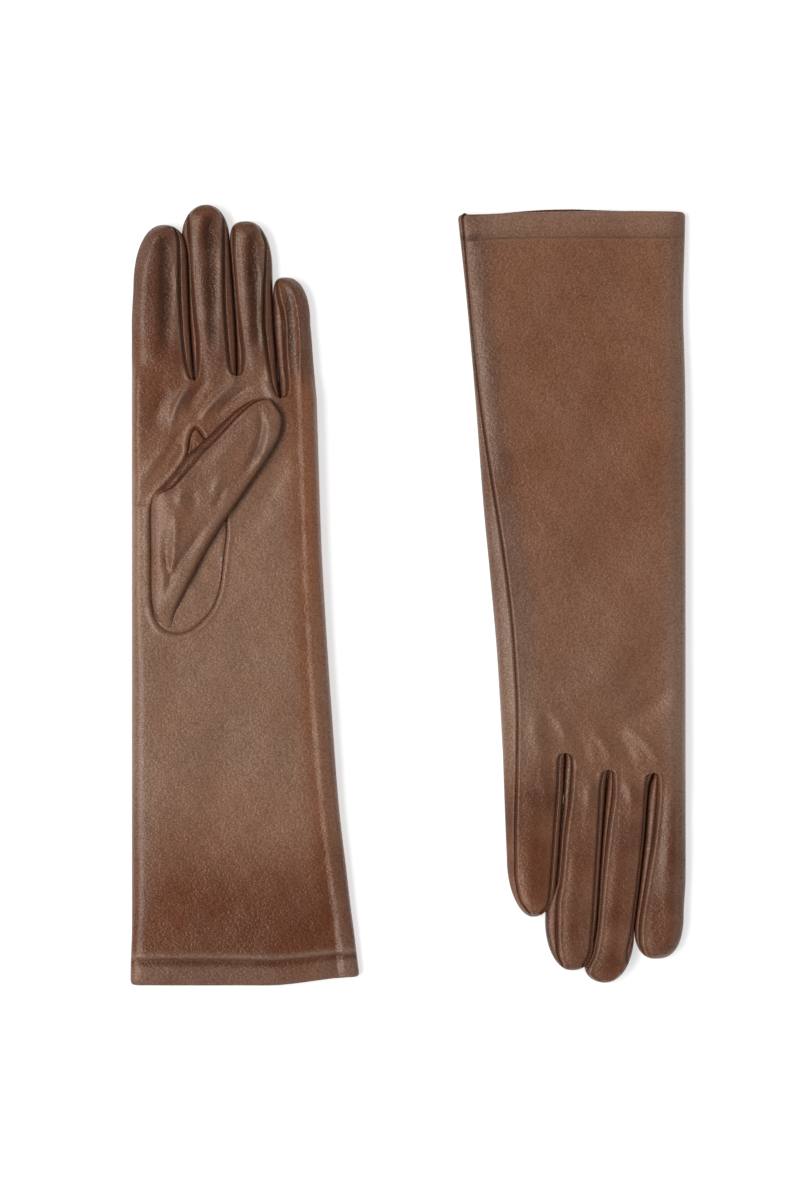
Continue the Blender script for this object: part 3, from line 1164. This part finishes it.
def thumb_paint(x, y, at, folds, from_left, from_right, from_seam):
    """Tone and haze of the thumb: dark seams and side strip, dark valleys and hazy crests of its folds.

    at: position along the matching points.
    """
    free = smooth(*FREE_FROM, at)
    dark = -0.44 + 0.3 * np.clip(-folds, 0, 2) - 0.12 * swell(x, y, 93, 15)
    dark = dark - 0.2 * bell(from_right - 3.2, 1.6)
    dark = dark + 1.1 * bell(from_seam, 0.5) * smooth(4.0, 4.4, at)
    dark = dark + (0.55 * smooth(0.6, 2.2, -from_seam) + 0.5) * (from_seam < 0) * smooth(4.0, 4.6, at)
    gap, _ = reach(x, y, np.array([(27.6, 255.6), (35.8, 257.6)]))
    dark = dark + 0.8 * bell(gap, 0.5) * (from_seam < 0.3)
    dark = dark + 1.1 * bell(from_left, 0.6) * (1 - free) + 1.1 * bell(from_right, 0.8)
    grey = 0.34 + 0.24 * np.clip(folds, 0, 2) + 0.1 * swell(x, y, 97, 22) + 0.2 * bell(from_right - 4.0, 2.0)
    grey = np.clip(grey * smooth(-1.5, 0.5, from_seam), 0, MOST_HAZE)
    return np.clip(dark, -1, 1), grey


THUMB_FOLDS = (
    ([(21.8, 226), (21.6, 214), (20.2, 197)], 1.3, 1.2),
    ([(17.6, 220), (17.0, 208), (18.6, 193)], 1.6, -1.0),
    ([(36, 221), (29, 211), (22, 201), (16.6, 188)], 1.8, -1.3),
    ([(26.6, 241), (24.4, 236), (23.2, 230)], 1.6, 1.2),
    ([(30, 238), (30, 231), (27, 225)], 2.6, -0.7),
    ([(45, 238.5), (42.6, 234), (40, 229)], 1.1, -1.1),
    ([(44, 246), (41.5, 241), (39.6, 235)], 1.6, 0.9),
    ([(55, 246), (60.3, 257), (62.8, 268), (62, 277)], 1.7, -1.5),
    ([(60, 247), (65.2, 259), (67.2, 271)], 1.4, 1.0),
    ([(36, 246), (46, 258), (56, 270)], 4.0, 0.8),
)


def fold_thumb(glove, piece):
    """The thumb bends at its throat, a line across it, and follows the sleeve beyond."""
    middle, toward = np.array([28.4, 229.2]), np.array([0.2175, 0.9761])
    start, end = bend_points(glove, *((*(middle + toward * depth), 14.0) for depth in (1.0, 13.0)))
    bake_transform(piece)


def mirrored(grid):
    """The right thumb lies under its palm: the same shape turned over."""
    turned = grid.copy()
    turned[..., 2] = THUMB_FACE - grid[..., 2]
    return turned


# The gusset's line under the thumb, the quirk's rim and its line under the thumb, each with its point count
PLATE_LINES = (
    (((16, 184), (20, 192), (28, 208), (36, 221), (40, 231)), 150),
    (((24.5, 250), (27.4, 257), (28.9, 264.5), (31.2, 267.6), (33.6, 265), (36.5, 260.5), (40, 250)), 70),
    (((31.4, 246), (31.6, 250), (31.8, 252), (32, 252.6), (32.2, 252), (32.4, 250), (32.6, 246)), 70),
)
PLATE_INSIDE = 1.3  # how far inside the right palm's leather its plates lie


def make_plates(glove):
    """The gusset and the quirk, thumb leather that fills the hole beside and beyond the thumb."""
    side, up = glove.side, glove.palm_up
    rim = HOLE[::-1]
    gusset_rim = rim[(rim[:, 1] < 232) & ~((rim[:, 0] < 12) & (rim[:, 1] > 178))]
    gusset_rim = curve(gusset_rim[::3], 150)
    gusset_rim = gusset_rim if gusset_rim[0, 1] < gusset_rim[-1, 1] else gusset_rim[::-1]
    gusset_inner, quirk_rim, quirk_inner = (curve(points, count) for points, count in PLATE_LINES)
    plates = (("gusset", gusset_rim, gusset_inner, 34), ("quirk", quirk_rim, quirk_inner, 22))
    for name, outer, within, columns in plates:
        s = np.concatenate([[0, 0.012, 0.03, 0.055, 0.085, 0.12], np.linspace(0.17, 1, columns)])
        x = outer[:, None, 0] + (within - outer)[:, None, 0] * s
        y = outer[:, None, 1] + (within - outer)[:, None, 1] * s
        depth = s * np.hypot(*(within - outer).T)[:, None]
        base = glove.top(x, y, seam=False) if up else THUMB_FACE + 0 * x
        z = base - 0.9 * bell(depth, 0.55, 1.6) + 0.25 * bell(depth - 1.5, 0.9)
        z = z + (0.35 * swell(x, y, 83, 16) + 0.25) * smooth(0.5, 4, depth)
        if up:
            dark, grey = dye(glove, x, y), bloom(glove, x, y)
        else:
            z = glove.under(x, y) + PLATE_INSIDE - 0.3 * (z - THUMB_FACE)
            dark, grey = 0.15 + 0 * x, 0 * x
        dark = np.clip(dark + 0.08 + 1.1 * bell(depth, 0.6), -1, 1)
        mirror = (name == "gusset") == up
        label, grid = f"{side}_{name}_skin", np.dstack([x, y, z])
        piece = grid_piece(label, glove, [grid], LEATHER[side], FACING_THICK, [dark], [grey], mirror=mirror)
        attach(piece, f"{side}_hand")
        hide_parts(f"{side}_thumb_{name}")


# ---------------------------------------------------------------- cuff, lining and side seam


def make_inside(glove, loop):
    """The turned-in hem, the silk lining behind it and the stitches of the side seam."""
    side = glove.side

    def inner(rows, depth):
        """A coarser loop a depth inside the trank's, at some of its rows."""
        part = loop[rows][:, ::3]
        x0 = loop[rows][..., 0].min(axis=1)[:, None]
        x1 = loop[rows][..., 0].max(axis=1)[:, None]
        z0 = loop[rows][..., 2].min(axis=1)[:, None]
        z1 = part[..., 2].max(axis=1)[:, None]
        mid_x, mid_z = (x0 + x1) / 2, (z1 + z0) / 2
        wide = mid_x + (part[..., 0] - mid_x) * (1 - 2 * depth / (x1 - x0))
        tall = mid_z + (part[..., 2] - mid_z) * (1 - depth / np.maximum(z1 - mid_z, 0.5))
        return np.dstack([wide, part[..., 1], tall])

    rows = loop[:, 0, 1]
    hem = inner(np.where(rows < HEM_END)[0], 1.0)
    tone = [0.1 + 0 * hem[..., 0]]
    piece = grid_piece(f"{side}_hem_facing", glove, [hem], LEATHER[side], FACING_THICK, tone, closed=True)
    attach(piece, f"{side}_gauntlet")
    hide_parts(f"{side}_cuff_hem")

    lined = inner(np.where((rows > LINING_START) & (rows < glove.step - 2))[0][::2], 1.9)
    piece = grid_piece(f"{side}_trank_silk", glove, [lined], SILK, SILK_THICK, closed=True)
    over_wrist(glove, piece, f"{side}_gauntlet_lining", f"{side}_hand_lining")

    y = spread(0.8, glove.step - 1, 1.5)
    x = glove.side_line(y)
    z = glove.under(x, y) + 0.2 if glove.palm_up else glove.top(x, y)
    seam = np.stack([x, bent_cuff(glove, x, y), z], -1)
    piece = stitches(f"{side}_side_seam_stitches", glove, [seam], 0.1)
    over_wrist(glove, piece, f"{side}_gauntlet_seam_thread", f"{side}_hand_seam_thread")


for glove in (LEFT, RIGHT):
    outer_loop = make_trank(glove)
    make_inside(glove, outer_loop)
    make_thumb(glove)
    for finger_name in FINGERS:
        make_finger(glove, finger_name)

# ---------------------------------------------------------------- floor, light and camera


def softbox(name, position, size, power):
    """A large soft white light aimed at the middle of the pair."""
    lamp = bpy.data.lights.new(name, "AREA")
    lamp.shape = "RECTANGLE"
    lamp.size, lamp.size_y = size
    lamp.energy = power
    holder = bpy.data.objects.new(name, lamp)
    holder.location = position
    holder.rotation_euler = (-holder.location).to_track_quat("-Z", "Y").to_euler()
    bpy.context.scene.collection.objects.link(holder)


FLOOR_REACH = 3  # metres from the middle to each side
FLOOR_LEVEL = -0.0002
corners = ((-1, -1), (1, -1), (1, 1), (-1, 1))
floor_corners = [(x * FLOOR_REACH, y * FLOOR_REACH, FLOOR_LEVEL) for x, y in corners]
floor_mesh = bpy.data.meshes.new("floor")
floor_mesh.from_pydata(floor_corners, [], [(0, 1, 2, 3)])
floor = bpy.data.objects.new("floor", floor_mesh)
floor_paint = bpy.data.materials.new("pale_floor")
floor_paint.use_nodes = True
floor_shader = floor_paint.node_tree.nodes["Principled BSDF"]
floor_shader.inputs["Base Color"].default_value = (0.72, 0.72, 0.72, 1)
floor_shader.inputs["Roughness"].default_value = 0.9
floor_shader.inputs["Specular IOR Level"].default_value = 0.1
floor_shader.inputs["Emission Color"].default_value = (1, 1, 1, 1)
floor_shader.inputs["Emission Strength"].default_value = 0.56
floor_mesh.materials.append(floor_paint)
bpy.context.scene.collection.objects.link(floor)

softbox("key_box", (-3.05, -0.40, 3.90), (4.5, 2.2), 205.0)
softbox("right_box", (3.50, 0.30, 1.90), (4.0, 0.8), 20.0)
softbox("far_box", (0.2, 3.30, 2.80), (4.0, 1.0), 30.0)
softbox("near_box", (0.0, -3.40, 2.40), (4.0, 0.9), 18.0)

world = bpy.data.worlds.new("studio")
world.use_nodes = True
world.node_tree.nodes["Background"].inputs["Color"].default_value = (1, 1, 1, 1)
world.node_tree.nodes["Background"].inputs["Strength"].default_value = 0.10
bpy.context.scene.world = world
bpy.context.scene.view_settings.view_transform = "Standard"

LENS, SENSOR = 110.0, 36.0
VIEW_LENGTH = 0.576  # metres that fit the picture's height at VIEW_LEVEL
VIEW_LEVEL = 0.008
camera = bpy.data.cameras.new("camera")
camera.lens = LENS
camera.sensor_width = SENSOR
camera.clip_start, camera.clip_end = 0.05, 20
eye = bpy.data.objects.new("camera", camera)
eye.location = (-0.00384, -0.0024, VIEW_LEVEL + LENS / SENSOR * VIEW_LENGTH)
bpy.context.scene.collection.objects.link(eye)
bpy.context.scene.camera = eye
